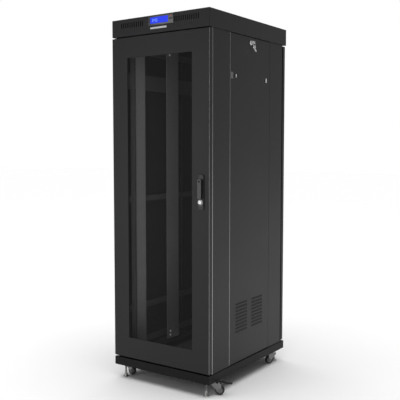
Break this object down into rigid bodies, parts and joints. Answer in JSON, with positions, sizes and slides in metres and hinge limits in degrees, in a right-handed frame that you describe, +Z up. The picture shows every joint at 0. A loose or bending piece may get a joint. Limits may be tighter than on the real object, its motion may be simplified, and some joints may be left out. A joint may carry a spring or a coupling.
{
  "type": "network server rack cabinet",
  "caption": "Black floor-standing 19-inch server cabinet with a perforated front door, swing handle, lift-off side panels, roof fans with a display, castors and levelling feet.",
  "frame": {"origin": "on the floor, under the middle of the cabinet's plan", "axes": "+Z up, front door facing -Y, width along X"},
  "size_m": [0.7364, 0.8165, 1.89],
  "materials": {
    "black_powder_coat": "fine-textured matt black powder coat on folded steel",
    "frame_paint": "matt black powder coat on inner steel",
    "mesh_paint": "matt black coat on perforated steel sheet",
    "black_plastic": "moulded black plastic with a fine grain",
    "gloss_black_plastic": "gloss black display housing",
    "display": "lit blue liquid crystal display",
    "lever_paint": "satin black die-cast lever",
    "chrome": "polished chrome plate",
    "zinc": "bright zinc plate on pressed steel",
    "nickel": "nickel-plated key brass",
    "tyre": "black rubber tread",
    "wheel_hub": "light grey moulded hub",
    "badge": "plain pale blank plate",
    "indicator": "small red indicator lens"
  },
  "bodies": {
    "cabinet": {"base_frame": "black_powder_coat", "base_plate": "frame_paint", "front_posts": "black_powder_coat", "rear_posts": "black_powder_coat", "front_rails": "frame_paint", "rear_rails": "frame_paint", "depth_braces": "frame_paint", "top_frame": "frame_paint", "roof_panel": "black_powder_coat", "roof_skirts": "black_powder_coat", "front_fascia": "black_powder_coat", "fan_tray": "frame_paint", "fan_housings": "black_plastic", "fan_guards": "chrome", "control_unit": "gloss_black_plastic", "lcd_screen": "display", "hinge_pins": "zinc", "castor_mounts": "zinc", "screws_and_nuts": "zinc"},
    "front_door": {"front_door_panel": "black_powder_coat", "door_mesh": "mesh_paint", "door_stiffeners": "frame_paint", "handle_dish": "black_plastic"},
    "handle_spindle": {"handle_spindle": "zinc"},
    "handle_lever": {"handle_lever": "lever_paint"},
    "door_lock": {"door_lock_plug": "chrome"},
    "rear_door": {"rear_door_panel": "black_powder_coat"},
    "rear_lock": {"rear_lock_plug": "chrome"},
    "side_panel_right": {"side_panel_right": "black_powder_coat"},
    "side_panel_left": {"side_panel_left": "black_powder_coat"},
    "side_lock_right": {"side_lock_right": "chrome", "key": "nickel"},
    "side_lock_left": {"side_lock_left": "chrome"},
    "key_ring": {"key_ring": "chrome", "spare_key": "nickel"},
    "slide_latch_right_front": {"slide_latch_right_front": "black_plastic"},
    "slide_latch_right_rear": {"slide_latch_right_rear": "black_plastic"},
    "slide_latch_left_front": {"slide_latch_left_front": "black_plastic"},
    "slide_latch_left_rear": {"slide_latch_left_rear": "black_plastic"},
    "fan_rotor_1": {"fan_rotor_1": "black_plastic"},
    "fan_rotor_2": {"fan_rotor_2": "black_plastic"},
    "fan_rotor_3": {"fan_rotor_3": "black_plastic"},
    "fan_rotor_4": {"fan_rotor_4": "black_plastic"},
    "control_button_1": {"control_button_1": "black_plastic"},
    "control_button_2": {"control_button_2": "black_plastic"},
    "control_button_3": {"control_button_3": "black_plastic"},
    "castor_swivel_front_right": {"castor_fork_front_right": "zinc"},
    "castor_wheel_front_right": {"castor_wheel_front_right": "tyre"},
    "brake_pedal_front_right": {"brake_pedal_front_right": "black_plastic"},
    "levelling_foot_front_right": {"levelling_foot_front_right": "zinc"},
    "castor_swivel_front_left": {"castor_fork_front_left": "zinc"},
    "castor_wheel_front_left": {"castor_wheel_front_left": "tyre"},
    "levelling_foot_front_left": {"levelling_foot_front_left": "zinc"},
    "castor_swivel_rear_right": {"castor_fork_rear_right": "zinc"},
    "castor_wheel_rear_right": {"castor_wheel_rear_right": "tyre"},
    "levelling_foot_rear_right": {"levelling_foot_rear_right": "zinc"},
    "castor_swivel_rear_left": {"castor_fork_rear_left": "zinc"},
    "castor_wheel_rear_left": {"castor_wheel_rear_left": "tyre"},
    "brake_pedal_rear_left": {"brake_pedal_rear_left": "black_plastic"},
    "levelling_foot_rear_left": {"levelling_foot_rear_left": "zinc"}
  },
  "joints": [
    {"name": "front_door_hinge", "type": "hinge", "parent": "cabinet", "child": "front_door", "pos_m": [-0.287, -0.385, 0.9], "axis": [0, 0, -1], "range_deg": [0, 130]},
    {"name": "handle_turn", "type": "hinge", "parent": "front_door", "child": "handle_spindle", "pos_m": [0.252, -0.4, 1.075], "axis": [0, 1, 0], "range_deg": [0, 90]},
    {"name": "handle_lift", "type": "hinge", "parent": "handle_spindle", "child": "handle_lever", "pos_m": [0.252, -0.4125, 1.075], "axis": [-1, 0, 0], "range_deg": [0, 35]},
    {"name": "door_lock_turn", "type": "hinge", "parent": "front_door", "child": "door_lock", "pos_m": [0.252, -0.4, 0.968], "axis": [0, 1, 0], "range_deg": [0, 90]},
    {"name": "rear_door_hinge", "type": "hinge", "parent": "cabinet", "child": "rear_door", "pos_m": [-0.284, 0.382, 0.9], "axis": [0, 0, 1], "range_deg": [0, 130]},
    {"name": "rear_lock_turn", "type": "hinge", "parent": "rear_door", "child": "rear_lock", "pos_m": [0.262, 0.39, 0.968], "axis": [0, 1, 0], "range_deg": [0, 90]},
    {"name": "side_panel_right_tilt", "type": "hinge", "parent": "cabinet", "child": "side_panel_right", "pos_m": [0.296, 0.005, 0.118], "axis": [0, 1, 0], "range_deg": [0, 20]},
    {"name": "side_panel_left_tilt", "type": "hinge", "parent": "cabinet", "child": "side_panel_left", "pos_m": [-0.296, 0.005, 0.118], "axis": [0, -1, 0], "range_deg": [0, 20]},
    {"name": "side_lock_right_turn", "type": "hinge", "parent": "side_panel_right", "child": "side_lock_right", "pos_m": [0.296, 0.008, 1.773], "axis": [1, 0, 0], "range_deg": [0, 90]},
    {"name": "side_lock_left_turn", "type": "hinge", "parent": "side_panel_left", "child": "side_lock_left", "pos_m": [-0.296, 0.008, 1.773], "axis": [1, 0, 0], "range_deg": [0, 90]},
    {"name": "key_ring_swing", "type": "hinge", "parent": "side_lock_right", "child": "key_ring", "pos_m": [0.313, 0.008, 1.773], "axis": [0, -1, 0], "range_deg": [0, 45]},
    {"name": "slide_latch_right_front_slide", "type": "slide", "parent": "side_panel_right", "child": "slide_latch_right_front", "axis": [0, 1, 0], "range_m": [0, 0.008]},
    {"name": "slide_latch_right_rear_slide", "type": "slide", "parent": "side_panel_right", "child": "slide_latch_right_rear", "axis": [0, -1, 0], "range_m": [0, 0.008]},
    {"name": "slide_latch_left_front_slide", "type": "slide", "parent": "side_panel_left", "child": "slide_latch_left_front", "axis": [0, 1, 0], "range_m": [0, 0.008]},
    {"name": "slide_latch_left_rear_slide", "type": "slide", "parent": "side_panel_left", "child": "slide_latch_left_rear", "axis": [0, -1, 0], "range_m": [0, 0.008]},
    {"name": "fan_rotor_1_spin", "type": "hinge", "parent": "cabinet", "child": "fan_rotor_1", "pos_m": [0.095, 0.075, 1.86], "axis": [0, 0, 1], "continuous": true},
    {"name": "fan_rotor_2_spin", "type": "hinge", "parent": "cabinet", "child": "fan_rotor_2", "pos_m": [0.095, -0.115, 1.86], "axis": [0, 0, 1], "continuous": true},
    {"name": "fan_rotor_3_spin", "type": "hinge", "parent": "cabinet", "child": "fan_rotor_3", "pos_m": [-0.095, 0.075, 1.86], "axis": [0, 0, 1], "continuous": true},
    {"name": "fan_rotor_4_spin", "type": "hinge", "parent": "cabinet", "child": "fan_rotor_4", "pos_m": [-0.095, -0.115, 1.86], "axis": [0, 0, 1], "continuous": true},
    {"name": "control_button_1_press", "type": "slide", "parent": "cabinet", "child": "control_button_1", "axis": [0, 1, 0], "range_m": [0, 0.001], "stiffness_N_per_m": 600},
    {"name": "control_button_2_press", "type": "slide", "parent": "cabinet", "child": "control_button_2", "axis": [0, 1, 0], "range_m": [0, 0.001], "stiffness_N_per_m": 600},
    {"name": "control_button_3_press", "type": "slide", "parent": "cabinet", "child": "control_button_3", "axis": [0, 1, 0], "range_m": [0, 0.001], "stiffness_N_per_m": 600},
    {"name": "castor_front_right_swivel", "type": "hinge", "parent": "cabinet", "child": "castor_swivel_front_right", "pos_m": [0.276, -0.314, 0.06], "axis": [0, 0, 1], "range_deg": [-88, 180]},
    {"name": "castor_front_right_roll", "type": "hinge", "parent": "castor_swivel_front_right", "child": "castor_wheel_front_right", "pos_m": [0.30305, -0.30675, 0.0256], "axis": [-0.2588, 0.9659, 0], "continuous": true},
    {"name": "brake_pedal_front_right_press", "type": "hinge", "parent": "castor_swivel_front_right", "child": "brake_pedal_front_right", "pos_m": [0.30305, -0.30675, 0.063], "axis": [-0.2588, 0.9659, 0], "range_deg": [0, 10]},
    {"name": "levelling_foot_front_right_level", "type": "slide", "parent": "cabinet", "child": "levelling_foot_front_right", "axis": [0, 0, -1], "range_m": [0, 0.02]},
    {"name": "castor_front_left_swivel", "type": "hinge", "parent": "cabinet", "child": "castor_swivel_front_left", "pos_m": [-0.276, -0.314, 0.06], "axis": [0, 0, 1], "range_deg": [-22, 180]},
    {"name": "castor_front_left_roll", "type": "hinge", "parent": "castor_swivel_front_left", "child": "castor_wheel_front_left", "pos_m": [-0.24827, -0.3179, 0.0256], "axis": [0.1392, 0.9903, 0], "continuous": true},
    {"name": "levelling_foot_front_left_level", "type": "slide", "parent": "cabinet", "child": "levelling_foot_front_left", "axis": [0, 0, -1], "range_m": [0, 0.02]},
    {"name": "castor_rear_right_swivel", "type": "hinge", "parent": "cabinet", "child": "castor_swivel_rear_right", "pos_m": [0.276, 0.314, 0.06], "axis": [0, 0, 1], "range_deg": [-100, 180]},
    {"name": "castor_rear_right_roll", "type": "hinge", "parent": "castor_swivel_rear_right", "child": "castor_wheel_rear_right", "pos_m": [0.26642, 0.28769, 0.0256], "axis": [0.9397, -0.342, 0], "continuous": true},
    {"name": "levelling_foot_rear_right_level", "type": "slide", "parent": "cabinet", "child": "levelling_foot_rear_right", "axis": [0, 0, -1], "range_m": [0, 0.02]},
    {"name": "castor_rear_left_swivel", "type": "hinge", "parent": "cabinet", "child": "castor_swivel_rear_left", "pos_m": [-0.276, 0.314, 0.06], "axis": [0, 0, 1], "range_deg": [-58, 180]},
    {"name": "castor_rear_left_roll", "type": "hinge", "parent": "castor_swivel_rear_left", "child": "castor_wheel_rear_left", "pos_m": [-0.30305, 0.32125, 0.0256], "axis": [-0.2588, -0.9659, 0], "continuous": true},
    {"name": "brake_pedal_rear_left_press", "type": "hinge", "parent": "castor_swivel_rear_left", "child": "brake_pedal_rear_left", "pos_m": [-0.30305, 0.32125, 0.063], "axis": [-0.2588, -0.9659, 0], "range_deg": [0, 10]},
    {"name": "levelling_foot_rear_left_level", "type": "slide", "parent": "cabinet", "child": "levelling_foot_rear_left", "axis": [0, 0, -1], "range_m": [0, 0.02]}
  ]
}
